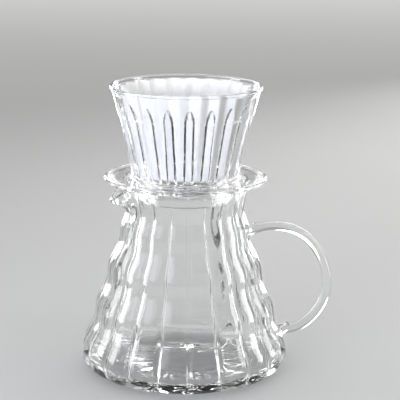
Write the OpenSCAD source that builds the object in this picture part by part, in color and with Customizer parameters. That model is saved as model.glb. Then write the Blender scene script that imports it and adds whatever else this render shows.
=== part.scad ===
// Pour over coffee set in clear glass: a fluted carafe with a loop handle, a ribbed
// flat-bottom dripper that stands on its mouth, and a pleated paper filter.
// Millimetres. The carafe stands on z = 0, centred on the Z axis; the handle is on +X,
// the spout on -X, and +Z is up.

/* [Carafe] */
// Height of the carafe from the table to its rim.
carafe_h = 126.7; // [120:0.1:132]
// Radius of the ring that stands on the table.
foot_r = 46; // [40:0.5:50]
// Height of the widest part of the belly.
belly_z = 13; // [10:0.5:16]
// Radius of the neck at its narrowest.
neck_r = 38.3; // [37:0.1:40]
// How much the radius grows for each millimetre down from the neck.
body_slope = 0.317; // [0.28:0.001:0.33]
// How far the rim flares out past the neck.
flare = 3.4; // [2:0.1:5]
// Height of the rings that ripple the body from neck to belly.
ripple = 1; // [0:0.1:1.4]
// Distance from one ring to the next.
ripple_pitch = 26.3; // [22:0.1:30]
// Number of vertical flutes round the body.
flutes = 20; // [16:1:24]
// Depth of the crease between two flutes, as a share of the radius.
flute_depth = 0.034; // [0.01:0.001:0.045]
// Thickness of the side wall.
carafe_wall = 1.8; // [1.4:0.1:2.4]
// Thickness of the base.
carafe_base = 4; // [3:0.1:5]

/* [Spout] */
// How far the lip is drawn outwards.
spout_out = 8; // [4:0.5:9]
// How far the lip droops below the rim.
spout_drop = 10.5; // [4:0.5:11]
// Half width of the lip, in degrees round the rim.
spout_half = 13; // [10:1:18]

/* [Handle] */
// Diameter of the glass rod.
rod_d = 6.3; // [5:0.1:7.5]
// Distance of the rod's upper end from the axis.
rod_x = 46.3; // [45.5:0.1:47]
// Height of the rod's upper end.
rod_z = 91.4; // [90.5:0.1:92.5]
// Thickness of the glass melted on at each end of the rod.
pad_len = 8; // [7:0.5:10]

/* [Dripper] */
// Radius of the dripper's rim.
dripper_r = 49; // [48:0.1:51]
// Height of the dripper above its flange.
cone_h = 59.6; // [56:0.1:64]
// Thickness of the dripper's wall.
dripper_wall = 2.2; // [1.8:0.1:2.6]
// Number of upright ribs inside the dripper.
ribs = 20; // [16:1:20]
// Radius of each rib at its foot.
rib_r = 2.4; // [1.8:0.1:2.6]
// Outer radius of the flange that rests on the carafe.
flange_r = 52.5; // [50:0.5:56]
// Outer radius of the skirt that hangs in the neck.
skirt_r = 29.5; // [27.5:0.1:31]
// Height of the skirt below the flange.
skirt_h = 12.6; // [8:0.1:18]
// Radius of each drain hole.
drain_r = 2.2; // [1.5:0.1:2.4]

/* [Filter] */
// Mean radius of the paper at its upper edge.
paper_r = 40; // [38:0.5:41]
// Height of the paper.
paper_h = 55.6; // [45:0.1:57]
// Thickness of the paper.
paper_t = 0.5; // [0.4:0.1:0.8]
// Height of the pleats at the upper edge, from the mean radius.
pleat = 2.6; // [1:0.1:3]

/* [Hidden] */

// Colours that stand for the two materials.
glass = [0.80, 0.86, 0.88, 0.45];
white_paper = [0.97, 0.97, 0.95];

// Carafe.
per_flute = 4;
around = flutes * per_flute;
neck_z = carafe_h - 21.7;
flare_z = carafe_h - 20;
rim_bead = 1.3;
spout_from = carafe_h - 20.6;
wall_steps = 22;

// Dripper.
seat_gap = 0.3;
flange_z = carafe_h + seat_gap;
flange_t = 2.3;
cup_z = flange_z + flange_t;
cup_top = cup_z + cone_h;
bead_r = 1.65;
cup_foot_r = dripper_r - 14.7;
band_z = cup_top - 18;
band_r = dripper_r - 5.1;
lip_r = 1.2;
inner_ring = skirt_r - 0.5;
floor_t = 2.4;
floor_z = flange_z + 0.6;
floor_rib_h = 1.3;
drains = 3;
drain_ring = 13;

// Filter.
paper_z = floor_z + floor_t + floor_rib_h + 0.2;
paper_foot_r = paper_r - 11.4;
paper_per_pleat = 4;
paper_around = ribs * paper_per_pleat;
paper_steps = 5;

function clamp01(x) = min(1, max(0, x));
function ease(x) = let(t = clamp01(x)) t * t * (3 - 2 * t);
function soft_ramp(x) = 3 * ln(1 + exp(x / 3));

// Radius of the carafe's outer face at height z, on the middle of a flute.
function ring_wave(z) = ripple * cos(360 * (z - neck_z + 6.4) / ripple_pitch)
                        * clamp01((neck_z + 3 - z) / 11);
function wall_r(z) = neck_r + body_slope * soft_ramp(neck_z - z) + ring_wave(z)
                     + flare * pow(clamp01((z - flare_z) / 20), 1.6);

// Share of the full flute depth at height z.
function flute_share(z) = ease(z / belly_z) * (1 - 0.8 * ease((z - neck_z) / 18));

// One point of the carafe, with the flutes and the spout worked in.
function carafe_point(r, z, a) =
    let(crease = flute_depth * flute_share(z) * (1 - abs(cos(flutes * a / 2))),
        off = abs(a - 180),
        pull = exp(-pow(off / spout_half, 2)) * ease((z - spout_from) / 20.6),
        rr = r * (1 - crease) + spout_out * pull)
    [rr * cos(a), rr * sin(a), z - spout_drop * pull];

// Section of the carafe from the middle of its underside, up the outside and down the inside.
curve = 2 / 2.3;
top_z = carafe_h - rim_bead;
belly_r = wall_r(belly_z);
inner_foot = foot_r - 5;
carafe_section = concat(
    [[foot_r * 0.5, 0], [foot_r, 0]],
    [for (u = [15 : 15 : 75])
        [foot_r + (belly_r - foot_r) * pow(sin(u), curve), belly_z * (1 - pow(cos(u), curve))]],
    [for (i = [0 : wall_steps])
        let(z = belly_z + (top_z - belly_z) * i / wall_steps) [wall_r(z), z]],
    [for (u = [30 : 40 : 150])
        [wall_r(top_z) - rim_bead + rim_bead * cos(u), top_z + rim_bead * sin(u)]],
    [for (i = [wall_steps : -1 : 0])
        let(z = belly_z + 1 + (top_z - belly_z - 1) * i / wall_steps)
        [wall_r(z) - carafe_wall - (i == wall_steps ? 0.8 : 0), z]],
    [for (u = [72 : -18 : 0])
        [inner_foot + (belly_r - carafe_wall - inner_foot) * pow(sin(u), curve),
         carafe_base + (belly_z + 1 - carafe_base) * (1 - pow(cos(u), curve))]],
    [[inner_foot * 0.5, carafe_base]]);

// Closed skin through rings of points, with a middle point below and one above the first and last.
module ring_skin(rings, first, last) {
    n = len(rings[0]);
    m = len(rings);
    points = concat([first], [for (ring = rings) each ring], [last]);
    end = len(points) - 1;
    faces = concat(
        [for (j = [0 : n - 1]) [0, 1 + j, 1 + (j + 1) % n]],
        [for (i = [0 : m - 2], j = [0 : n - 1])
            let(a = 1 + i * n + j, b = 1 + i * n + (j + 1) % n) [a, a + n, b]],
        [for (i = [0 : m - 2], j = [0 : n - 1])
            let(a = 1 + i * n + j, b = 1 + i * n + (j + 1) % n) [b, a + n, b + n]],
        [for (j = [0 : n - 1]) [end, end - n + (j + 1) % n, end - n + j]]);
    polyhedron(points, faces, convexity = 10);
}

module carafe_body() {
    rings = [for (s = carafe_section)
        [for (j = [0 : around - 1]) carafe_point(s[0], s[1], j * 360 / around)]];
    color(glass) ring_skin(rings, [0, 0, 0], [0, 0, carafe_base]);
}

// Handle: three arcs that run on from one another, each [radius, angle turned].
rod_arcs = [[35.5, 59], [45, 43.5], [31.5, 96]];
rod_heading = 20.5;
rod_step = 5;
rod_sides = 20;

function arc_heading(i) = i == 0 ? rod_heading : arc_heading(i - 1) - rod_arcs[i - 1][1];
function arc_centre(i) = arc_start(i) + rod_arcs[i][0] * [sin(arc_heading(i)), -cos(arc_heading(i))];
function arc_point(i, a) =
    let(h = arc_heading(i) - a) arc_centre(i) + rod_arcs[i][0] * [-sin(h), cos(h)];
function arc_start(i) = i == 0 ? [rod_x, rod_z] : arc_point(i - 1, rod_arcs[i - 1][1]);

// Circle of the rod round the point p of its centre line, square to the heading h.
function rod_ring(p, h) =
    [for (k = [0 : rod_sides - 1])
        let(b = k * 360 / rod_sides, r = rod_d / 2)
        [p[0] - r * cos(b) * sin(h), -r * sin(b), p[1] + r * cos(b) * cos(h)]];

module carafe_handle() {
    last = len(rod_arcs) - 1;
    stations = concat(
        [for (i = [0 : last])
            let(turn = rod_arcs[i][1], n = ceil(turn / rod_step))
            for (k = [0 : n - 1]) [arc_point(i, turn * k / n), arc_heading(i) - turn * k / n]],
        [[arc_point(last, rod_arcs[last][1]), arc_heading(last) - rod_arcs[last][1]]]);
    tail = stations[len(stations) - 1][0];
    color(glass) ring_skin([for (s = stations) rod_ring(s[0], s[1])],
                           [rod_x, 0, rod_z], [tail[0], 0, tail[1]]);
}

// Flared blob of glass standing out from the wall at p, tilted up by the wall's own slope.
module pad(p, foot, tip) {
    tilt = 15;
    translate([p[0], 0, p[1]]) rotate([0, 90 - tilt, 0])
        rotate_extrude($fn = 60)
            polygon(concat([[0, 0]],
                [for (t = [0 : 0.125 : 1]) [tip + (foot - tip) * pow(1 - t, 1.7), pad_len * t]],
                [[0, pad_len]]));
}

module handle_upper_pad() {
    color(glass) pad([wall_r(rod_z - 0.6) - carafe_wall + 0.25, rod_z - 0.6], 5.2, rod_d / 2 + 0.4);
}

module handle_lower_pad() {
    z = rod_z - 70.2;
    color(glass) pad([wall_r(z) - carafe_wall + 0.25, z], 6.5, rod_d / 2 + 0.5);
}

// Dripper: tapered wall with a thicker band at the top, and ribs inside that stop below the rim.
module dripper_cup() {
    inner = dripper_wall;
    foot_z = cup_z;
    rib_low = foot_z + 0.6;
    rib_top = band_z + 7;
    low = [cup_foot_r - inner - 0.6, rib_low];
    high = [band_r - inner + 0.2 * (rib_top - band_z), rib_top];
    tilt = atan2(high[0] - low[0], high[1] - low[1]);
    color(glass) union() {
        rotate_extrude($fn = 120) union() {
            polygon([[cup_foot_r - inner, foot_z], [cup_foot_r, foot_z],
                     [band_r - 0.6, band_z - 1.2], [band_r, band_z],
                     [dripper_r - lip_r * 0.6, cup_top - lip_r],
                     [dripper_r - 2 * lip_r, cup_top - lip_r],
                     [band_r - inner, band_z]]);
            translate([dripper_r - lip_r, cup_top - lip_r]) circle(r = lip_r, $fn = 32);
        }
        for (k = [0 : ribs - 1]) rotate([0, 0, (k + 0.5) * 360 / ribs])
            translate([low[0], 0, low[1]]) rotate([0, tilt, 0])
                cylinder(r1 = rib_r, r2 = rib_r - 0.8, h = norm(high - low), $fn = 32);
    }
}

// Flat saucer with a bead round its edge and a fillet up to the wall.
module dripper_flange() {
    fillet = 2;
    edge = flange_r - bead_r;
    start = cup_foot_r + fillet;
    color(glass) rotate_extrude($fn = 120) union() {
        polygon(concat([[inner_ring, flange_z + 0.1], [edge, flange_z + 0.1], [edge, cup_z],
                        [start, cup_z]],
            [for (u = [15 : 15 : 90])
                [start - fillet * sin(u), cup_z + fillet * (1 - cos(u))]],
            [[cup_foot_r - 0.1, cup_z], [inner_ring, cup_z]]));
        translate([edge, flange_z + bead_r]) circle(r = bead_r, $fn = 40);
    }
}

// Floor inside the cup, with drain holes and raised bars that hold the paper off it.
module dripper_floor() {
    color(glass) difference() {
        union() {
            translate([0, 0, floor_z]) cylinder(r = inner_ring + 0.3, h = floor_t, $fn = 120);
            for (k = [0 : drains - 1]) rotate([0, 0, (k + 0.5) * 360 / drains])
                translate([4, -1, floor_z + floor_t - 0.2]) cube([20, 2, floor_rib_h + 0.2]);
        }
        for (k = [0 : drains - 1]) rotate([0, 0, k * 360 / drains])
            translate([drain_ring, 0, floor_z - 1]) cylinder(r = drain_r, h = floor_t + 2, $fn = 32);
    }
}

// Short tube that keeps the dripper centred in the neck.
module dripper_skirt() {
    t = 2.2;
    low = flange_z - skirt_h;
    color(glass) rotate_extrude($fn = 120) union() {
        translate([skirt_r - t, low + t / 2]) square([t, skirt_h + 0.8 - t / 2]);
        translate([skirt_r - t / 2, low + t / 2]) circle(d = t, $fn = 32);
    }
}

// Pleated paper: radius at a share s of its height, at angle a, on the outer or the inner side.
function paper_point(s, a, side) =
    let(r = paper_foot_r + (paper_r - paper_foot_r) * s + side * paper_t / 2,
        rr = r + (0.3 + (pleat - 0.3) * s) * cos(ribs * a))
    [rr * cos(a), rr * sin(a), paper_z + (side < 0 ? paper_t * (1 - s) : 0) + paper_h * s];

module paper_filter() {
    angles = [for (j = [0 : paper_around - 1]) j * 360 / paper_around];
    half = paper_foot_r * 0.5;
    rings = concat(
        [[for (a = angles) [half * cos(a), half * sin(a), paper_z]]],
        [for (i = [0 : paper_steps]) [for (a = angles) paper_point(i / paper_steps, a, 1)]],
        [for (i = [paper_steps : -1 : 0]) [for (a = angles) paper_point(i / paper_steps, a, -1)]],
        [[for (a = angles) [half * cos(a), half * sin(a), paper_z + paper_t]]]);
    color(white_paper) ring_skin(rings, [0, 0, paper_z], [0, 0, paper_z + paper_t]);
}

carafe_body();
carafe_handle();
handle_upper_pad();
handle_lower_pad();
dripper_cup();
dripper_flange();
dripper_floor();
dripper_skirt();
paper_filter();
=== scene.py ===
import math
import random

import bpy
from mathutils import Matrix, Vector


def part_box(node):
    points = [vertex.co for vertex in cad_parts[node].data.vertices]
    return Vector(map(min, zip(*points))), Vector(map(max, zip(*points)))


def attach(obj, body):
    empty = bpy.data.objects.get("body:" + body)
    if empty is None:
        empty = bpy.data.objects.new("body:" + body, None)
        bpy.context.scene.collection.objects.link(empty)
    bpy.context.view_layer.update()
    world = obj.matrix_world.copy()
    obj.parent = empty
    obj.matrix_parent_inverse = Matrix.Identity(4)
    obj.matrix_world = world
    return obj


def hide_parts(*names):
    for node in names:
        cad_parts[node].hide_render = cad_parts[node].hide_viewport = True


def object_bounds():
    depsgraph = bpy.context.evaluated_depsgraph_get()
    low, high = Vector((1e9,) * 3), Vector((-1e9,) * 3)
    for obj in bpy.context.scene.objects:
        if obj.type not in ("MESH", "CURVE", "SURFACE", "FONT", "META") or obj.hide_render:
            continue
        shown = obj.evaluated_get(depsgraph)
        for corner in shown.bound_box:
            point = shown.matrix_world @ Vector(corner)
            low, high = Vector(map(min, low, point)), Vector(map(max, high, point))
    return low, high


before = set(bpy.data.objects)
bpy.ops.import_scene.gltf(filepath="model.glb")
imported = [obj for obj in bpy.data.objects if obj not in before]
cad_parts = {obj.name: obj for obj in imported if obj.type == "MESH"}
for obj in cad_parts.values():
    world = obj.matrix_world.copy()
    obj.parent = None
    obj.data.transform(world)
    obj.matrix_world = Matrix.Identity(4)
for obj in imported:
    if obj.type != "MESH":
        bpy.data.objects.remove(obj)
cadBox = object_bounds()  # the bounds of the parts as loaded
print("frame loaded")

mm = 0.001
weldGap = 0.002 * mm
nearAxis = 1 * mm  # corners closer to the axis than this stay where they are
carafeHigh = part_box("carafe_body")[1]
cupLow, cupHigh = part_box("dripper_cup")
flangeLow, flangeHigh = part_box("dripper_flange")
skirtLow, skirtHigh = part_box("dripper_skirt")
floorLow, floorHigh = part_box("dripper_floor")
paperLow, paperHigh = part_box("paper_filter")


# general helpers

def deselectAll():
    if bpy.context.object and bpy.context.object.mode != "OBJECT":
        bpy.ops.object.mode_set(mode="OBJECT")
    bpy.ops.object.select_all(action="DESELECT")


def clamp(value):
    return max(0.0, min(1.0, value))


def ease(value):
    t = clamp(value)
    return t * t * (3 - 2 * t)


def arcPoints(centre, radius, first, last, count):
    points = []
    for i in range(count):
        angle = math.radians(first + (last - first) * i / (count - 1))
        points.append((centre[0] + radius * math.cos(angle), centre[1] + radius * math.sin(angle)))
    return points


def linePoints(start, end, count):
    # from start towards end, without the end itself
    return [(start[0] + (end[0] - start[0]) * i / count, start[1] + (end[1] - start[1]) * i / count)
            for i in range(count)]


def turnSection(name, section, steps, throughAxis=False):
    # a ring of points laid out as a section, then turned once round the upright axis
    deselectAll()
    bpy.ops.mesh.primitive_circle_add(vertices=len(section), radius=0.01, location=(0, 0, 0))
    piece = bpy.context.object
    piece.name = name
    piece.data.name = name
    for corner, (radius, height) in zip(piece.data.vertices, section):
        corner.co = (radius, 0, height)
    if throughAxis:  # the side that lies along the axis is taken out
        last = len(section) - 1
        for edge in piece.data.edges:
            edge.select = set(edge.vertices) == {0, last}
        for corner in piece.data.vertices:
            corner.select = corner.index in (0, last)
        bpy.ops.object.mode_set(mode="EDIT")
        bpy.context.tool_settings.mesh_select_mode = (False, True, False)
        bpy.ops.mesh.delete(type="EDGE")
        bpy.context.tool_settings.mesh_select_mode = (True, False, False)
        bpy.ops.object.mode_set(mode="OBJECT")
    turn = piece.modifiers.new("turn", "SCREW")
    turn.axis = "Z"
    turn.angle = math.tau
    turn.steps = turn.render_steps = steps
    turn.use_merge_vertices = True
    turn.merge_threshold = weldGap
    bpy.ops.object.modifier_apply(modifier=turn.name)
    bpy.ops.object.mode_set(mode="EDIT")
    bpy.ops.mesh.select_all(action="SELECT")
    bpy.ops.mesh.remove_doubles(threshold=weldGap)
    bpy.ops.mesh.normals_make_consistent(inside=False)
    bpy.ops.object.mode_set(mode="OBJECT")
    return piece


def smoothFaces(piece, angle=None):
    deselectAll()
    piece.select_set(True)
    bpy.context.view_layer.objects.active = piece
    if angle is None:
        bpy.ops.object.shade_smooth()
    else:
        bpy.ops.object.shade_smooth_by_angle(angle=math.radians(angle))


def finishPiece(piece, material, body, slotName, *nodes):
    piece.data.materials.clear()
    piece.data.materials.append(material)
    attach(piece, body)
    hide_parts(*nodes)
    print("made", piece.name, len(piece.data.polygons), "faces")


# shared shader groups

def newGroup(name, inputs, outputs):
    group = bpy.data.node_groups.new(name, "ShaderNodeTree")
    for socketName, socketType, start in inputs:
        socket = group.interface.new_socket(name=socketName, in_out="INPUT", socket_type=socketType)
        socket.default_value = start
    for socketName, socketType in outputs:
        group.interface.new_socket(name=socketName, in_out="OUTPUT", socket_type=socketType)
    into = group.nodes.new("NodeGroupInput")
    out = group.nodes.new("NodeGroupOutput")
    return group, into, out


def addNoise(group, vector, scale, detail=2.0, roughness=0.5):
    noise = group.nodes.new("ShaderNodeTexNoise")
    noise.inputs["Detail"].default_value = detail
    noise.inputs["Roughness"].default_value = roughness
    group.links.new(vector, noise.inputs["Vector"])
    if isinstance(scale, (int, float)):
        noise.inputs["Scale"].default_value = scale
    else:
        group.links.new(scale, noise.inputs["Scale"])
    return noise.outputs["Fac"]


def addMath(group, operation, first, second, third=None):
    node = group.nodes.new("ShaderNodeMath")
    node.operation = operation
    for socket, value in zip(node.inputs, (first, second, third)):
        if value is None:
            continue
        if isinstance(value, (int, float)):
            socket.default_value = value
        else:
            group.links.new(value, socket)
    return node.outputs[0]


def addRange(group, value, fromLow, fromHigh, toLow, toHigh):
    node = group.nodes.new("ShaderNodeMapRange")
    group.links.new(value, node.inputs["Value"])
    for socketName, limit in (("From Min", fromLow), ("From Max", fromHigh),
                              ("To Min", toLow), ("To Max", toHigh)):
        if isinstance(limit, (int, float)):
            node.inputs[socketName].default_value = limit
        else:
            group.links.new(limit, node.inputs[socketName])
    return node.outputs["Result"]


def addColourMix(group, factor, first, second):
    node = group.nodes.new("ShaderNodeMix")
    node.data_type = "RGBA"
    group.links.new(factor, node.inputs["Factor"])
    for socketName, colour in (("A", first), ("B", second)):
        socket = next(s for s in node.inputs if s.name == socketName and s.type == "RGBA")
        if isinstance(colour, (tuple, list)):
            socket.default_value = colour
        else:
            group.links.new(colour, socket)
    return next(s for s in node.outputs if s.type == "RGBA")


def makeHandWorkedGlass():
    # slow waves in the surface, faint smears of wiping, and a breath of colour that comes and goes
    group, into, out = newGroup(
        "handWorkedGlass",
        [("Position", "NodeSocketVector", (0, 0, 0)), ("Wave Scale", "NodeSocketFloat", 60.0),
         ("Smear", "NodeSocketFloat", 0.02), ("Clear Colour", "NodeSocketColor", (1, 1, 1, 1)),
         ("Thick Colour", "NodeSocketColor", (0.97, 0.99, 0.98, 1))],
        [("Colour", "NodeSocketColor"), ("Roughness", "NodeSocketFloat"), ("Height", "NodeSocketFloat")])
    slow = addNoise(group, into.outputs["Position"], into.outputs["Wave Scale"], 1.0, 0.4)
    quickScale = addMath(group, "MULTIPLY", into.outputs["Wave Scale"], 3.7)
    quick = addNoise(group, into.outputs["Position"], quickScale, 1.0, 0.5)
    height = addMath(group, "MULTIPLY_ADD", quick, 0.18, slow)
    wipe = group.nodes.new("ShaderNodeMapping")
    wipe.inputs["Rotation"].default_value = (0.5, 0.3, 0.9)
    wipe.inputs["Scale"].default_value = (1.0, 1.0, 0.18)
    group.links.new(into.outputs["Position"], wipe.inputs["Vector"])
    smear = addNoise(group, wipe.outputs["Vector"], 85.0, 4.0, 0.6)
    smearMask = addRange(group, smear, 0.52, 0.78, 0.0, 1.0)
    roughness = addMath(group, "MULTIPLY", smearMask, into.outputs["Smear"])
    colour = addColourMix(group, slow, into.outputs["Clear Colour"], into.outputs["Thick Colour"])
    group.links.new(colour, out.inputs["Colour"])
    group.links.new(roughness, out.inputs["Roughness"])
    group.links.new(height, out.inputs["Height"])
    return group


def makePaperFibre():
    # cloudy pulp, short fibres and the fine crepe of filter paper
    group, into, out = newGroup(
        "paperFibre",
        [("Position", "NodeSocketVector", (0, 0, 0)), ("Fibre Scale", "NodeSocketFloat", 900.0),
         ("Paper Colour", "NodeSocketColor", (0.9, 0.9, 0.88, 1)),
         ("Shade Colour", "NodeSocketColor", (0.8, 0.8, 0.79, 1))],
        [("Colour", "NodeSocketColor"), ("Roughness", "NodeSocketFloat"), ("Height", "NodeSocketFloat")])
    cloud = addNoise(group, into.outputs["Position"], 160.0, 3.0, 0.6)
    stretch = group.nodes.new("ShaderNodeMapping")
    stretch.inputs["Scale"].default_value = (1.0, 1.0, 2.6)
    group.links.new(into.outputs["Position"], stretch.inputs["Vector"])
    fibre = addNoise(group, stretch.outputs["Vector"], into.outputs["Fibre Scale"], 3.0, 0.65)
    pulp = addMath(group, "MULTIPLY_ADD", fibre, 0.5, cloud)
    mask = addRange(group, pulp, 0.45, 1.05, 0.0, 1.0)
    colour = addColourMix(group, mask, into.outputs["Paper Colour"], into.outputs["Shade Colour"])
    roughness = addRange(group, fibre, 0.3, 0.7, 0.78, 0.95)
    group.links.new(colour, out.inputs["Colour"])
    group.links.new(roughness, out.inputs["Roughness"])
    group.links.new(fibre, out.inputs["Height"])
    return group


handWorkedGlass = makeHandWorkedGlass()
paperFibre = makePaperFibre()


def startMaterial(name, group, values):
    material = bpy.data.materials.new(name)
    material.use_nodes = True
    tree = material.node_tree
    tree.nodes.clear()
    output = tree.nodes.new("ShaderNodeOutputMaterial")
    shader = tree.nodes.new("ShaderNodeBsdfPrincipled")
    where = tree.nodes.new("ShaderNodeTexCoord")
    effect = tree.nodes.new("ShaderNodeGroup")
    effect.node_tree = group
    tree.links.new(where.outputs["Object"], effect.inputs["Position"])
    for socketName, value in values.items():
        effect.inputs[socketName].default_value = value
    bump = tree.nodes.new("ShaderNodeBump")
    tree.links.new(effect.outputs["Height"], bump.inputs["Height"])
    tree.links.new(effect.outputs["Colour"], shader.inputs["Base Color"])
    tree.links.new(effect.outputs["Roughness"], shader.inputs["Roughness"])
    tree.links.new(bump.outputs["Normal"], shader.inputs["Normal"])
    return material, tree, shader, bump, output


def makeClearGlass(name, values, bumpDepth):
    material, tree, shader, bump, output = startMaterial(name, handWorkedGlass, values)
    bump.inputs["Strength"].default_value = 1.0
    bump.inputs["Distance"].default_value = bumpDepth
    shader.inputs["IOR"].default_value = 1.47
    shader.inputs["Transmission Weight"].default_value = 1.0
    shader.inputs["Metallic"].default_value = 0.0
    path = tree.nodes.new("ShaderNodeLightPath")  # light falls through the glass with a faint tint
    through = tree.nodes.new("ShaderNodeBsdfTransparent")
    through.inputs["Color"].default_value = (0.972, 0.975, 0.975, 1)
    mix = tree.nodes.new("ShaderNodeMixShader")
    tree.links.new(path.outputs["Is Shadow Ray"], mix.inputs["Fac"])
    tree.links.new(shader.outputs["BSDF"], mix.inputs[1])
    tree.links.new(through.outputs["BSDF"], mix.inputs[2])
    tree.links.new(mix.outputs["Shader"], output.inputs["Surface"])
    return material


def makeFilterPaper(name, values):
    material, tree, shader, bump, output = startMaterial(name, paperFibre, values)
    bump.inputs["Strength"].default_value = 0.55
    bump.inputs["Distance"].default_value = 0.00012
    shader.inputs["Metallic"].default_value = 0.0
    shader.inputs["Specular IOR Level"].default_value = 0.25
    shader.inputs["Subsurface Weight"].default_value = 0.35
    shader.inputs["Subsurface Radius"].default_value = (1.0, 0.95, 0.9)
    shader.inputs["Subsurface Scale"].default_value = 0.0012
    shader.inputs["Sheen Weight"].default_value = 0.15
    tree.links.new(shader.outputs["BSDF"], output.inputs["Surface"])
    return material


blownGlass = makeClearGlass("blownCarafeGlass",
                            {"Wave Scale": 70.0, "Smear": 0.05, "Clear Colour": (1, 1, 1, 1),
                             "Thick Colour": (0.985, 0.995, 0.99, 1)}, 0.00012)
pressedGlass = makeClearGlass("pressedDripperGlass",
                              {"Wave Scale": 110.0, "Smear": 0.04, "Clear Colour": (1, 1, 1, 1),
                               "Thick Colour": (0.985, 0.995, 0.995, 1)}, 0.0001)
meltedGlass = makeClearGlass("meltedRodGlass",
                             {"Wave Scale": 150.0, "Smear": 0.05, "Clear Colour": (1, 1, 1, 1),
                              "Thick Colour": (0.98, 0.99, 0.985, 1)}, 0.0002)
whitePaper = makeFilterPaper("whiteFilterPaper",
                             {"Fibre Scale": 1100.0, "Paper Colour": (0.93, 0.93, 0.92, 1),
                              "Shade Colour": (0.84, 0.84, 0.84, 1)})
print("materials ready")


# carafe

carafe = {
    # outer shape
    "footRadius": 46 * mm, "footCurve": 2 / 2.3, "bellyHeight": 13 * mm, "slope": 0.317,
    "neckRadius": 38.3 * mm, "neckDrop": 21.7 * mm, "neckSoft": 3 * mm,
    "flare": 3.4 * mm, "flareLength": 20 * mm, "flareCurve": 1.6, "rimBead": 1.3 * mm,
    "ripple": 1.0 * mm, "ripplePitch": 26.3 * mm, "rippleShift": 6.4 * mm,
    "rippleOver": 3 * mm, "rippleFade": 11 * mm,
    "spoutOut": 8 * mm, "spoutDrop": 10.5 * mm, "spoutHalf": 13.0, "spoutLength": 20.6 * mm,
    # thickness
    "wall": 1.8 * mm, "base": 4 * mm, "cornerWall": 5 * mm, "innerRise": 1 * mm,
    "rimTuck": 0.8 * mm, "tuckLength": 5 * mm, "dome": 2.4 * mm,
    # underside
    "punt": 2.6 * mm, "puntCurve": 2.4, "puntEdge": 0.15 * mm, "puntIn": 4 * mm, "standRing": 2.2 * mm,
    "baseRows": 16, "baseRing": 0.22 * mm, "baseRingPitch": 6.5 * mm,
    "ringStart": 16 * mm, "ringGrow": 20 * mm,
    # flutes, and the ridges and petals that go with them inside
    "flutes": 20, "fluteDepth": 0.034, "innerFlute": 0.55, "outerSoft": 0.06, "innerSoft": 0.3,
    "fluteStart": 10 * mm, "fluteFade": 0.8, "fadeLength": 18 * mm, "plainFoot": 6 * mm,
    "swell": (0.85, 1.12), "gather": 0.115, "ridgeHalf": 1.6 * mm, "ridgeRise": 1.0 * mm,
    "ridgeStart": 8 * mm, "petal": 0.8 * mm, "petalStart": 20 * mm, "petalGrow": 18 * mm, "petalCurve": 1.5,
    # mesh
    "columnsPerFlute": 18, "wallRows": 88,
}
carafe["top"] = carafeHigh.z
carafe["neckHeight"] = carafe["top"] - carafe["neckDrop"]


def waveAt(z):
    # the three soft rings, which fade out on the way up the neck
    c = carafe
    swing = math.cos(math.tau * (z - c["neckHeight"] + c["rippleShift"]) / c["ripplePitch"])
    return c["ripple"] * swing * clamp((c["neckHeight"] + c["rippleOver"] - z) / c["rippleFade"])


def carafeRadius(z):
    # the wall above the belly: a soft bend from cone to neck, then the flare of the rim
    c = carafe
    ramp = c["neckSoft"] * math.log(1 + math.exp((c["neckHeight"] - z) / c["neckSoft"]))
    lift = clamp((z - c["top"] + c["flareLength"]) / c["flareLength"])
    return c["neckRadius"] + c["slope"] * ramp + waveAt(z) + c["flare"] * lift ** c["flareCurve"]


def outerRadius(z):
    # the outer face, with the rounded turn from foot to belly
    c = carafe
    if z >= c["bellyHeight"]:
        return carafeRadius(z)
    up = clamp(1 - z / c["bellyHeight"]) ** (1 / c["footCurve"])
    across = math.sin(math.acos(up)) ** c["footCurve"]
    return c["footRadius"] + (carafeRadius(c["bellyHeight"]) - c["footRadius"]) * across


def turnShares(degrees):
    # how far out and how far up the turn from foot to belly has come
    angle = math.radians(degrees)
    return math.sin(angle) ** carafe["footCurve"], 1 - math.cos(angle) ** carafe["footCurve"]


def carafeSection():
    c = carafe
    rows = c["baseRows"]
    belly = carafeRadius(c["bellyHeight"])
    top = c["top"] - c["rimBead"]
    section = [(0, c["punt"])]
    for i in range(1, rows + 1):  # underside, hollowed to a shallow punt
        share = i / rows
        section.append(((c["footRadius"] - c["puntIn"]) * share,
                        c["punt"] * (1 - share ** c["puntCurve"]) + c["puntEdge"] * share))
    section += [(c["footRadius"] - c["standRing"], 0.0), (c["footRadius"], 0.0)]
    for degrees in range(6, 90, 6):
        across, up = turnShares(degrees)
        section.append((c["footRadius"] + (belly - c["footRadius"]) * across, c["bellyHeight"] * up))
    for i in range(c["wallRows"] + 1):
        z = c["bellyHeight"] + (top - c["bellyHeight"]) * i / c["wallRows"]
        section.append((carafeRadius(z), z))
    section += arcPoints((carafeRadius(top) - c["rimBead"], top), c["rimBead"], 15, 165, 8)
    innerTurn = c["bellyHeight"] + c["innerRise"]
    for i in range(c["wallRows"], -1, -1):
        z = innerTurn + (top - innerTurn) * i / c["wallRows"]
        tuck = c["rimTuck"] * ease((z - top + c["tuckLength"]) / c["tuckLength"])
        section.append((carafeRadius(z) - c["wall"] - tuck, z))
    innerFoot = c["footRadius"] - c["cornerWall"]
    for degrees in range(82, -1, -8):
        across, up = turnShares(degrees)
        section.append((innerFoot + (belly - c["wall"] - innerFoot) * across,
                        c["base"] + (innerTurn - c["base"]) * up))
    for i in range(rows - 1, -1, -1):  # inner floor, domed up over the punt
        section.append((innerFoot * i / rows, c["base"] + c["dome"] * (1 - (i / rows) ** 2)))
    return section


def fluteShare(z):
    # flutes grow out of the plain foot, and nearly fade out at the rim
    c = carafe
    return ease(z / c["fluteStart"]) * (1 - c["fluteFade"] * ease((z - c["neckHeight"]) / c["fadeLength"]))


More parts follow.
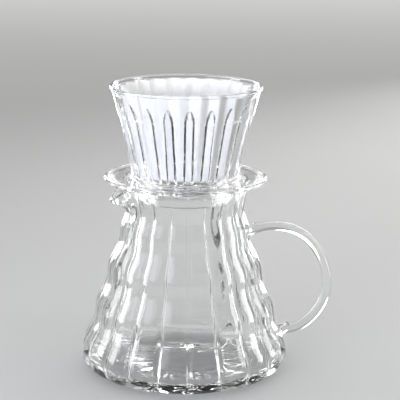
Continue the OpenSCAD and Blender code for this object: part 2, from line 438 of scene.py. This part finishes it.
def ridgeDepth(place, r, z):
    # the wall is pinched thicker behind each crease
    c = carafe
    across = (0.5 - abs(place - round(place))) * math.tau / c["flutes"] * r / c["ridgeHalf"]
    if across >= 1:
        return 0.0
    ridge = c["ridgeRise"] * fluteShare(z) * ease((z - c["base"]) / c["ridgeStart"])
    return ridge / r * math.sqrt(max(0.0, 1 - across ** 2))


def baseRise(r, crest, inside):
    # rings pressed into the base, and petals on the inner floor where the ridges run on over it
    c = carafe
    inward = ease((r - c["ringStart"]) / c["ringGrow"])
    inward *= ease((c["footRadius"] - c["puntIn"] - r) / c["puntIn"])
    rise = c["baseRing"] * math.sin(math.tau * r / c["baseRingPitch"]) * inward
    if inside:
        rise += c["petal"] * (1 - crest) ** c["petalCurve"] * ease((r - c["petalStart"]) / c["petalGrow"])
    return rise


def shapeCarafe(piece):
    # the turned section gets its flutes, ridges, spout and the pattern of its base
    c = carafe
    chance = random.Random(7)
    swell = [chance.uniform(*c["swell"]) for flute in range(c["flutes"])]
    underFloor = 0.7 * c["base"]  # between the punt and the inner floor
    for corner in piece.data.vertices:
        x, y, z = corner.co
        r = math.hypot(x, y)
        if r < nearAxis:
            continue
        place = (math.degrees(math.atan2(y, x)) % 360) * c["flutes"] / 360
        place += c["gather"] * math.sin(math.tau * place)  # columns drawn together at the creases
        angle = place * 360 / c["flutes"]
        flute = int(round(place)) % c["flutes"]
        inside = r < outerRadius(z) - c["wall"] / 2 and z > underFloor
        crest = abs(math.cos(math.radians(angle * c["flutes"] / 2)))
        soft = c["innerSoft"] if inside else c["outerSoft"]
        crest = (math.sqrt(crest ** 2 + soft ** 2) - soft) / (math.sqrt(1 + soft ** 2) - soft)
        crease = c["fluteDepth"] * swell[flute] * fluteShare(z) * (1 - crest)
        if inside:
            crease = crease * c["innerFlute"] + ridgeDepth(place, r, z)
        if z < c["plainFoot"] and r < c["footRadius"]:
            crease = 0.0
        pull = math.exp(-(abs(angle - 180) / c["spoutHalf"]) ** 2)
        pull *= ease((z - c["top"] + c["spoutLength"]) / c["spoutLength"])
        newRadius = r * (1 - crease) + c["spoutOut"] * pull
        inBase = r < c["footRadius"] - c["puntIn"] and z < c["base"] + c["dome"] + 0.1 * mm
        rise = baseRise(r, crest, inside) if inBase else 0.0
        turn = math.radians(angle)
        corner.co = (math.cos(turn) * newRadius, math.sin(turn) * newRadius,
                     z + rise - c["spoutDrop"] * pull)


carafeBody = turnSection("carafeBody", carafeSection(), carafe["flutes"] * carafe["columnsPerFlute"], True)
shapeCarafe(carafeBody)
smoothFaces(carafeBody)
finishPiece(carafeBody, blownGlass, "carafe", "carafe_glass", "carafe_body")


# handle: a bent rod, and the glass melted on at both ends

handle = {
    "rodRadius": 3.15 * mm, "start": (46.3 * mm, 91.4 * mm), "heading": 20.5,
    "bends": ((35.5 * mm, 59.0), (45.0 * mm, 43.5), (31.5 * mm, 96.0)), "sides": 40, "stepAngle": 2.5,
    "padTilt": 15.0, "padLength": 8 * mm, "padCurve": 1.7, "padIn": 0.25 * mm, "padOver": 0.06 * mm,
    "padFold": 0.075, "padRows": 14, "padSides": 64,
    "upperDrop": 0.6 * mm, "upperFoot": 5.2 * mm, "lowerDrop": 70.2 * mm, "lowerFoot": 6.5 * mm,
}


def makeHandleRod():
    # one circle spun along three bends that run on from one another
    h = handle
    x, z = h["start"]
    deselectAll()
    bpy.ops.mesh.primitive_circle_add(vertices=h["sides"], radius=h["rodRadius"], fill_type="NGON",
                                      location=(x, 0, z),
                                      rotation=(0, math.radians(90 - h["heading"]), 0))
    rod = bpy.context.object
    rod.name = "handleRod"
    rod.data.name = "handleRod"
    bpy.ops.object.transform_apply(location=True, rotation=True, scale=True)
    bpy.ops.object.mode_set(mode="EDIT")
    bpy.ops.mesh.select_all(action="SELECT")
    heading = math.radians(h["heading"])
    for radius, angle in h["bends"]:
        centre = (x + radius * math.sin(heading), z - radius * math.cos(heading))
        steps = max(4, round(angle / h["stepAngle"]))
        bpy.ops.mesh.spin(steps=steps, angle=-math.radians(angle), dupli=False,
                          center=(centre[0], 0, centre[1]), axis=(0, 1, 0))
        heading -= math.radians(angle)
        x, z = centre[0] - radius * math.sin(heading), centre[1] + radius * math.cos(heading)
    bpy.ops.mesh.select_all(action="SELECT")
    bpy.ops.mesh.remove_doubles(threshold=weldGap)
    bpy.ops.mesh.normals_make_consistent(inside=False)
    bpy.ops.object.mode_set(mode="OBJECT")
    return rod


def makeMeltedPad(name, foot, drop, seed):
    # a flared blob with soft folds where the hot rod was pressed on and pulled
    h = handle
    chance = random.Random(seed)
    phases = [chance.uniform(0, math.tau) for fold in range(3)]
    length, tip = h["padLength"], h["rodRadius"] + h["padOver"]
    section = [(0, 0), (foot * 0.5, 0)]
    for i in range(h["padRows"] + 1):
        t = i / h["padRows"]
        section.append((tip + (foot - tip) * (1 - t) ** h["padCurve"], length * t))
    section += [(tip * 0.5, length), (0, length)]
    pad = turnSection(name, section, h["padSides"], True)
    for corner in pad.data.vertices:
        x, y, z = corner.co
        r = math.hypot(x, y)
        if r < nearAxis or z < 0.2 * mm:
            continue
        around = math.atan2(y, x)
        folds = (math.sin(5 * around + phases[0] + z * 260) + 0.7 * math.sin(9 * around + phases[1])
                 + 0.5 * math.sin(z / length * 11 + phases[2]))
        shrink = 1 - h["padFold"] * (folds + 2.2) * clamp(1 - z / length) ** 0.5
        corner.co = (x * shrink, y * shrink, z)
    height = h["start"][1] - drop
    deselectAll()
    pad.select_set(True)
    bpy.context.view_layer.objects.active = pad
    pad.rotation_euler = (0, math.radians(90 - h["padTilt"]), 0)
    pad.location = (carafeRadius(height) - carafe["wall"] + h["padIn"], 0, height)
    bpy.ops.object.transform_apply(location=True, rotation=True, scale=True)
    return pad


def joinOn(piece, other, way="UNION"):
    # one closed skin out of two, and the second piece is used up
    deselectAll()
    piece.select_set(True)
    bpy.context.view_layer.objects.active = piece
    change = piece.modifiers.new("join", "BOOLEAN")
    change.operation = way
    change.solver = "EXACT"
    change.object = other
    bpy.ops.object.modifier_apply(modifier=change.name)
    bpy.data.objects.remove(other)


handleRod = makeHandleRod()
joinOn(handleRod, makeMeltedPad("upperPad", handle["upperFoot"], handle["upperDrop"], 3))
joinOn(handleRod, makeMeltedPad("lowerPad", handle["lowerFoot"], handle["lowerDrop"], 5))
smoothFaces(handleRod, 40)
finishPiece(handleRod, meltedGlass, "carafe", "carafe_glass",
            "carafe_handle", "handle_upper_pad", "handle_lower_pad")


# dripper: cup, flange and skirt are one pressed piece of glass

dripper = {
    # wall and band
    "wall": 2.2 * mm, "lip": 1.2 * mm, "bandDrop": 18 * mm, "bandIn": 5.1 * mm,
    "bandStep": 0.6 * mm, "stepSoft": 1.6 * mm, "footIn": 14.7 * mm, "footRound": 2 * mm,
    # ledge inside, which the floor is level with, and the turn from it up to the wall
    "ledgeRise": 0.7 * mm, "ledgeEdge": 0.3 * mm, "cornerRise": 0.9 * mm,
    # flange and skirt
    "bead": 1.65 * mm, "dish": 0.25 * mm, "underRise": 0.1 * mm, "skirtWall": 2.2 * mm,
    # ribs
    "ribs": 20, "ribHalf": 3.1 * mm, "ribRise": 2.9 * mm, "ribPoint": 7 * mm, "ribOver": 9 * mm,
    # mesh: columns and rows, and the rows by their height in mm over the band's lower edge
    "columnsPerRib": 30, "ribRows": 50, "innerBandRows": (12, 14, 15.5),
    "outerBandRows": (14.5, 12, 9, 6, 3, 1, 0.3, -0.4, -1, -1.6, -2.4), "coneRows": 12,
}
dripper["top"] = cupHigh.z
dripper["foot"] = cupLow.z
dripper["rimRadius"] = cupHigh.y
dripper["bandHeight"] = dripper["top"] - dripper["bandDrop"]
dripper["bandRadius"] = dripper["rimRadius"] - dripper["bandIn"]
dripper["footRadius"] = dripper["rimRadius"] - dripper["footIn"]
dripper["ledge"] = dripper["foot"] + dripper["ledgeRise"]


def cupOuter(z):
    # a straight cone up to the band, which stands out from it by a soft step
    d = dripper
    if z >= d["bandHeight"]:
        share = (z - d["bandHeight"]) / (d["top"] - d["lip"] - d["bandHeight"])
        return d["bandRadius"] + (d["rimRadius"] - 0.6 * d["lip"] - d["bandRadius"]) * share
    share = (z - d["foot"]) / (d["bandHeight"] - d["foot"])
    step = d["bandStep"] * (1 - ease((z - d["bandHeight"] + d["stepSoft"]) / d["stepSoft"]))
    return d["footRadius"] + (d["bandRadius"] - d["footRadius"]) * share - step * ease(share * 2)


def innerWall(z):
    # straight inside: the step of the band shows on the outside only
    d = dripper
    low, high = d["footRadius"] - d["wall"], d["rimRadius"] - 2 * d["lip"]
    bend = d["bandRadius"] - d["wall"]
    if z < d["bandHeight"]:
        return low + (bend - low) * (z - d["foot"]) / (d["bandHeight"] - d["foot"])
    return bend + (high - bend) * (z - d["bandHeight"]) / (d["top"] - d["lip"] - d["bandHeight"])


def insideOfDripper(skirtInner, skirtEnd):
    # up the skirt's inner face, over the ledge and up the wall as far as the lip
    d = dripper
    ledge, edge, band = d["ledge"], d["ledgeEdge"], d["bandHeight"]
    corner, wallStart = d["footRadius"] - d["wall"], ledge + d["cornerRise"]
    wallEnd = band + d["ribOver"] + 1 * mm
    section = linePoints((skirtInner, skirtEnd), (skirtInner, ledge - edge), 8)
    section += [(skirtInner, ledge - edge), (skirtInner + edge, ledge)]
    section += [(corner - 1.4 * mm, ledge), (corner - 0.45 * mm, ledge + 0.3 * mm)]
    section.append((corner + 0.05 * mm, wallStart))
    heights = [wallStart + (wallEnd - wallStart) * i / d["ribRows"] for i in range(1, d["ribRows"] + 1)]
    heights += [band + row * mm for row in d["innerBandRows"]]
    return section + [(innerWall(z), z) for z in heights]


def outsideOfCup(low):
    # down the band and the cone to the start of the rounded foot
    d = dripper
    coneTop = d["bandHeight"] + d["outerBandRows"][-1] * mm
    heights = [d["bandHeight"] + row * mm for row in d["outerBandRows"]]
    heights += [coneTop + (low - coneTop) * i / d["coneRows"] for i in range(1, d["coneRows"])]
    return [(cupOuter(z), z) for z in heights]


def dripperSection():
    d = dripper
    skirtOuter, skirtInner = skirtHigh.y, skirtHigh.y - d["skirtWall"]
    skirtRound = d["skirtWall"] / 2
    skirtEnd = skirtLow.z + skirtRound
    flangeEdge = flangeHigh.y - d["bead"]
    under, over = flangeLow.z + d["underRise"], d["foot"]
    low = over + d["footRound"]
    section = insideOfDripper(skirtInner, skirtEnd)
    section += arcPoints((d["rimRadius"] - d["lip"], d["top"] - d["lip"]), d["lip"], 185, -35, 16)
    section += outsideOfCup(low)
    # out over the flange, which is dished a little, round its bead and back under it
    section += arcPoints((cupOuter(low) + d["footRound"], low), d["footRound"], 180, 270, 8)
    section += [(cupOuter(low) + 5 * mm, over - d["dish"]), (flangeEdge - 6 * mm, over - d["dish"])]
    section.append((flangeEdge - 2.4 * mm, over - d["dish"] * 0.4))
    section += arcPoints((flangeEdge, flangeLow.z + d["bead"]), d["bead"], 128, -100, 20)
    section += [(flangeEdge - 2.5 * mm, under), (skirtOuter + 8 * mm, under)]
    # down the outside of the skirt to its rounded end
    section += [(skirtOuter + 1.6 * mm, under), (skirtOuter + 0.5 * mm, under - 0.4 * mm)]
    section.append((skirtOuter, under - 1.5 * mm))
    section += linePoints((skirtOuter, under - 2.5 * mm), (skirtOuter, skirtEnd), 6)
    section += arcPoints((skirtOuter - skirtRound, skirtEnd), skirtRound, 0, -162, 9)
    return section


def shapeRibs(piece):
    # upright ribs with rounded backs, running out to a point some way below the rim
    d = dripper
    ribTop = d["bandHeight"] + d["ribOver"]
    pitch = math.tau / d["ribs"]
    for corner in piece.data.vertices:
        x, y, z = corner.co
        r = math.hypot(x, y)
        onInside = r < innerWall(z) + 0.5 * mm
        if not onInside or not d["ledge"] + 0.5 * mm < z < ribTop:
            continue
        angle = math.atan2(y, x) % pitch - pitch / 2  # ribs stand half a pitch round from the x axis
        run = clamp((ribTop - z) / d["ribPoint"])
        half = d["ribHalf"] * run ** 0.55
        across = abs(angle) * r / max(half, 0.01 * mm)
        if across >= 1:
            continue
        rise = d["ribRise"] * run ** 0.7 * (1 - across ** 2.2) ** 0.55
        corner.co = (x / r * (r - rise), y / r * (r - rise), z)


dripperCup = turnSection("dripperCup", dripperSection(), dripper["ribs"] * dripper["columnsPerRib"])
shapeRibs(dripperCup)
smoothFaces(dripperCup)
finishPiece(dripperCup, pressedGlass, "dripper", "dripper_glass",
            "dripper_cup", "dripper_flange", "dripper_skirt")


# dripper floor: a disc let into the skirt, with drain holes and raised bars between them

drain = {
    "gap": 0.06 * mm, "edgeRound": 0.3 * mm, "sides": 96,
    "holes": 3, "holeRadius": 2.2 * mm, "holeRing": 13 * mm, "holeSides": 48,
    "barStart": 4 * mm, "barLength": 20 * mm, "barWidth": 2 * mm,
    "barRound": 0.5 * mm, "barSink": 0.2 * mm,
}


def makeDrainCutter(angle):
    deselectAll()
    bpy.ops.mesh.primitive_cylinder_add(
        vertices=drain["holeSides"], radius=drain["holeRadius"], depth=12 * mm,
        location=(drain["holeRing"] * math.cos(angle), drain["holeRing"] * math.sin(angle),
                  dripper["ledge"]))
    return bpy.context.object


def makeRaisedBar(angle):
    foot = dripper["ledge"] - drain["barSink"]
    middle = drain["barStart"] + drain["barLength"] / 2
    deselectAll()
    bpy.ops.mesh.primitive_cube_add(
        size=1, location=(middle * math.cos(angle), middle * math.sin(angle), (foot + floorHigh.z) / 2),
        rotation=(0, 0, angle))
    bar = bpy.context.object
    bar.scale = (drain["barLength"], drain["barWidth"], floorHigh.z - foot)
    bpy.ops.object.transform_apply(location=True, rotation=True, scale=True)
    bpy.ops.object.mode_set(mode="EDIT")
    bpy.ops.mesh.select_all(action="SELECT")
    bpy.ops.mesh.bevel(offset=drain["barRound"], segments=3, affect="EDGES")
    bpy.ops.object.mode_set(mode="OBJECT")
    return bar


def makeDripperFloor():
    outer = skirtHigh.y - dripper["skirtWall"] - drain["gap"]
    low, plate, edge = floorLow.z, dripper["ledge"], drain["edgeRound"]
    section = [(0, low)] + linePoints((4 * mm, low), (outer - edge, low), 6)
    section += [(outer - edge, low), (outer, low + edge), (outer, plate - edge), (outer - edge, plate)]
    section += linePoints((outer - 1.5 * mm, plate), (4 * mm, plate), 6) + [(4 * mm, plate), (0, plate)]
    disc = turnSection("dripperFloor", section, drain["sides"], True)
    for hole in range(drain["holes"]):
        angle = math.tau * hole / drain["holes"]
        joinOn(disc, makeDrainCutter(angle), "DIFFERENCE")
        joinOn(disc, makeRaisedBar(angle + math.pi / drain["holes"]))
    smoothFaces(disc, 35)
    return disc


dripperFloor = makeDripperFloor()
finishPiece(dripperFloor, pressedGlass, "dripper", "dripper_glass", "dripper_floor")


# paper filter

paper = {
    "thick": 0.45 * mm, "footRadius": 28.6 * mm, "footRise": 1.4 * mm, "topIn": 0.1 * mm,
    "pleats": 20, "pleatLow": 0.35 * mm, "pleatHigh": 1.7 * mm, "pleatCurve": 0.8, "sharp": 0.93,
    "uneven": (0.86, 1.0), "drift": 0.9, "edgeWave": 0.25 * mm, "rows": 26, "columnsPerPleat": 24,
}
paper["topRadius"] = paperHigh.y - paper["pleatHigh"] - 0.5 * paper["thick"] - paper["topIn"]


def paperSection():
    # one skin: out under the foot, up the outside, down the inside and back over the foot
    p = paper
    low, high = paperLow.z, paperHigh.z - p["edgeWave"]
    inLow, foot = low + p["thick"], p["footRadius"]
    wallLow = low + p["footRise"]

    def wallPoint(row, side):
        share = row / p["rows"]
        return (foot + (p["topRadius"] - foot) * share + side * p["thick"] / 2,
                wallLow + (high - wallLow) * share)

    section = [(0, low)] + linePoints((7 * mm, low), (foot - 1.2 * mm, low), 4)
    section += [(foot - 1.2 * mm, low), (foot - 0.2 * mm, low + 0.35 * mm)]
    section += [wallPoint(row, 1) for row in range(p["rows"] + 1)]
    section += [wallPoint(row, -1) for row in range(p["rows"], -1, -1)]
    section += [(foot - 0.5 * mm, low + 0.8 * mm), (foot - 1.4 * mm, inLow)]
    section += linePoints((foot - 4 * mm, inLow), (5 * mm, inLow), 4)
    return section + [(0, inLow)]


def shapePleats(piece):
    # pleats deepen towards the rim, and no two of them stand quite alike
    p = paper
    chance = random.Random(11)
    height = [chance.uniform(*p["uneven"]) for pleat in range(p["pleats"])]
    drift = [chance.uniform(-p["drift"], p["drift"]) for pleat in range(p["pleats"])]
    for corner in piece.data.vertices:
        x, y, z = corner.co
        r = math.hypot(x, y)
        if r < nearAxis:
            continue
        share = clamp((z - paperLow.z) / (paperHigh.z - paperLow.z))
        angle = math.degrees(math.atan2(y, x)) % 360
        place = angle * p["pleats"] / 360
        pleat = int(round(place)) % p["pleats"]
        inPleat = abs(place - round(place)) * 2
        lean = drift[pleat] * share * (1 - inPleat)
        turn = math.radians((angle + lean) * p["pleats"])
        fold = math.asin(p["sharp"] * math.cos(turn)) / math.asin(p["sharp"])
        rise = (p["pleatLow"] + (p["pleatHigh"] - p["pleatLow"]) * share ** p["pleatCurve"]) * fold
        if fold > 0:
            rise *= height[pleat]
        onWall = clamp((r - p["footRadius"] + 4 * mm) / (3 * mm))
        newRadius = r + rise * onWall
        edge = p["edgeWave"] * fold * ease((share - 0.9) / 0.1)
        corner.co = (x / r * newRadius, y / r * newRadius, z + edge)


paperFilter = turnSection("paperFilter", paperSection(), paper["pleats"] * paper["columnsPerPleat"], True)
shapePleats(paperFilter)
smoothFaces(paperFilter, 40)
finishPiece(paperFilter, whitePaper, "filter", "filter_paper", "paper_filter")
print("object modelled")


# stage

# the near black colour below is painted into the floor where the glass reflects it, as a painted dark
# reflection
stageLook = {"floorSize": 24.0, "floorColour": (0.63, 0.63, 0.62), "paintedDarkInReflections": (0.012, 0.011, 0.011),
             "roomFront": (0.13, 0.13, 0.135), "roomBack": (0.38, 0.38, 0.38)}


def makeStageMaterial():
    # pale paint, painted near black where the glass shows it in its reflections: a painted dark reflection
    # standing in for a dark table top
    look = stageLook
    material = bpy.data.materials.new("palePaint")
    material.use_nodes = True
    tree = material.node_tree
    shader = tree.nodes["Principled BSDF"]
    where = tree.nodes.new("ShaderNodeTexCoord")
    noise = tree.nodes.new("ShaderNodeTexNoise")
    noise.inputs["Scale"].default_value = 3.0
    ramp = tree.nodes.new("ShaderNodeValToRGB")
    ramp.color_ramp.elements[0].color = tuple(c * 0.97 for c in look["floorColour"]) + (1,)
    ramp.color_ramp.elements[1].color = look["floorColour"] + (1,)
    tree.links.new(where.outputs["Object"], noise.inputs["Vector"])
    tree.links.new(noise.outputs["Fac"], ramp.inputs["Fac"])
    path = tree.nodes.new("ShaderNodeLightPath")  # painted dark reflection: near black at the second and third turn in the glass
    twice = addRange(tree, path.outputs["Glossy Depth"], 1.0, 2.0, 0.0, 1.0)
    fewTimes = addRange(tree, path.outputs["Glossy Depth"], 3.0, 4.0, 1.0, 0.0)
    paintedDarkReflection = addMath(tree, "MULTIPLY", twice, fewTimes)
    colour = addColourMix(tree, paintedDarkReflection, ramp.outputs["Color"], look["paintedDarkInReflections"] + (1,))
    tree.links.new(colour, shader.inputs["Base Color"])
    shader.inputs["Roughness"].default_value = 0.9
    shader.inputs["Specular IOR Level"].default_value = 0.0
    return material


deselectAll()
bpy.ops.mesh.primitive_plane_add(size=stageLook["floorSize"], location=(0, 0, 0))
studioFloor = bpy.context.object
studioFloor.name = "studioFloor"
studioFloor.data.materials.append(makeStageMaterial())


def makeSoftRoom():
    # a grey room, paler behind the object than in front of it
    world = bpy.data.worlds.new("softRoom")
    bpy.context.scene.world = world
    world.use_nodes = True
    tree = world.node_tree
    tree.nodes.clear()
    out = tree.nodes.new("ShaderNodeOutputWorld")
    back = tree.nodes.new("ShaderNodeBackground")
    where = tree.nodes.new("ShaderNodeTexCoord")
    split = tree.nodes.new("ShaderNodeSeparateXYZ")
    tree.links.new(where.outputs["Generated"], split.inputs["Vector"])
    depth = addRange(tree, split.outputs["Y"], -0.6, 0.6, 0.0, 1.0)
    colour = addColourMix(tree, depth, stageLook["roomFront"] + (1,), stageLook["roomBack"] + (1,))
    tree.links.new(colour, back.inputs["Color"])
    tree.links.new(back.outputs["Background"], out.inputs["Surface"])


makeSoftRoom()
cameraTurn = -12.0
middle = (cadBox[0].z + cadBox[1].z) / 2


def fromCamera(right, ahead, up):
    # a place given as it lies from the camera's side: to the right, away from it, and up
    turn = math.radians(cameraTurn)
    return Vector((right * math.cos(turn) - ahead * math.sin(turn),
                   right * math.sin(turn) + ahead * math.cos(turn), up))


def addSoftbox(name, place, size, power, colour, job, spread=180, aimHeight=None):
    lamp = bpy.data.lights.new(name, "AREA")
    lamp.shape = "RECTANGLE"
    lamp.size, lamp.size_y = size
    lamp.energy = power
    lamp.color = colour
    lamp.spread = math.radians(spread)
    box = bpy.data.objects.new(name, lamp)
    bpy.context.collection.objects.link(box)
    box.location = fromCamera(*place)
    aim = Vector((0, 0, place[2] if aimHeight is None else aimHeight))
    box.rotation_mode = "QUATERNION"
    box.rotation_quaternion = (aim - box.location).to_track_quat("-Z", "Y")
    box.visible_camera = False
    if job == "card":  # shows in the glass only
        box.visible_diffuse = False
    if job == "fill":  # lights paper and floor, and is not mirrored
        box.visible_glossy = box.visible_transmission = False


white, coolWhite = (1.0, 1.0, 1.0), (0.87, 0.89, 1.0)
onPaper = 0.16  # the height of the filter
straightDown = -5000.0  # so far below that the lamp hangs level
softboxes = {
    # place from the camera's side, size, power, colour, job, spread, height aimed at
    "skyFill": ((0.0, 0.0, 3.0), (9.0, 9.0), 66, white, "fill", 180, 0.0),
    "farFillBehind": ((0.0, 3.7, 1.5), (6.0, 3.0), 60, white, "fill", 180, straightDown),
    "farFillBefore": ((0.0, -3.7, 1.5), (6.0, 3.0), 45, white, "fill", 180, straightDown),
    "frontFill": ((-0.75, -1.3, 0.28), (0.6, 0.5), 5.0, coolWhite, "fill", 70, onPaper),
    "sideFill": ((1.2, -0.5, 0.5), (0.6, 0.6), 1.5, white, "fill", 70, onPaper),
    "backFill": ((0.75, 1.3, 0.28), (0.6, 0.5), 3.6, white, "fill", 70, onPaper),
    "leftStrip": ((-0.3, 0.62, 0.42), (0.17, 0.84), 3.6, white, "card"),
    "rightStrip": ((0.3, 0.62, 0.42), (0.17, 0.84), 3.6, white, "card"),
    "leftCard": ((-0.5, 0.0, 0.42), (0.2, 0.84), 3.2, white, "card"),
    "rightCard": ((0.5, 0.0, 0.42), (0.15, 0.84), 2.8, white, "card"),
    "windowCard": ((-0.9, -0.72, 0.66), (0.8, 0.8), 4, coolWhite, "card", 180, middle),
    "topCard": ((0.0, 0.5, 1.4), (1.2, 0.8), 9, white, "card", 180, middle),
}
for boxName, settings in softboxes.items():
    addSoftbox(boxName, *settings)

viewFrom = {"distance": 0.9293, "height": 0.3297, "down": 13.103, "aside": 0.589,
            "tilt": 0.615, "lens": 132.39}


def placeCamera():
    # angles in degrees: below level, aside from the middle, and the camera's own roll
    v = viewFrom
    down, aside, tilt = (math.radians(v[key]) for key in ("down", "aside", "tilt"))
    ahead = Vector((math.sin(aside) * math.cos(down), math.cos(aside) * math.cos(down), -math.sin(down)))
    level = Vector((math.cos(aside), -math.sin(aside), 0))
    upright = level.cross(ahead)
    right = math.cos(tilt) * level + math.sin(tilt) * upright
    up = -math.sin(tilt) * level + math.cos(tilt) * upright
    pose = Matrix((right, up, -ahead)).transposed().to_4x4()
    pose.translation = Vector((0, -v["distance"], v["height"]))
    lens = bpy.data.cameras.new("viewCamera")
    lens.sensor_width = 36
    lens.lens = v["lens"]
    lens.clip_start = 0.05
    lens.clip_end = 30
    camera = bpy.data.objects.new("viewCamera", lens)
    bpy.context.collection.objects.link(camera)
    camera.matrix_world = Matrix.Rotation(math.radians(cameraTurn), 4, "Z") @ pose
    bpy.context.scene.camera = camera


placeCamera()
scene = bpy.context.scene
scene.view_settings.view_transform = "Standard"
scene.cycles.use_denoising = True
throughGlass, offGlass = 28, 12  # bounces
scene.cycles.max_bounces = throughGlass
scene.cycles.transmission_bounces = throughGlass
scene.cycles.transparent_max_bounces = throughGlass
scene.cycles.glossy_bounces = offGlass
scene.cycles.caustics_refractive = False
scene.cycles.caustics_reflective = False
print("stage lit")
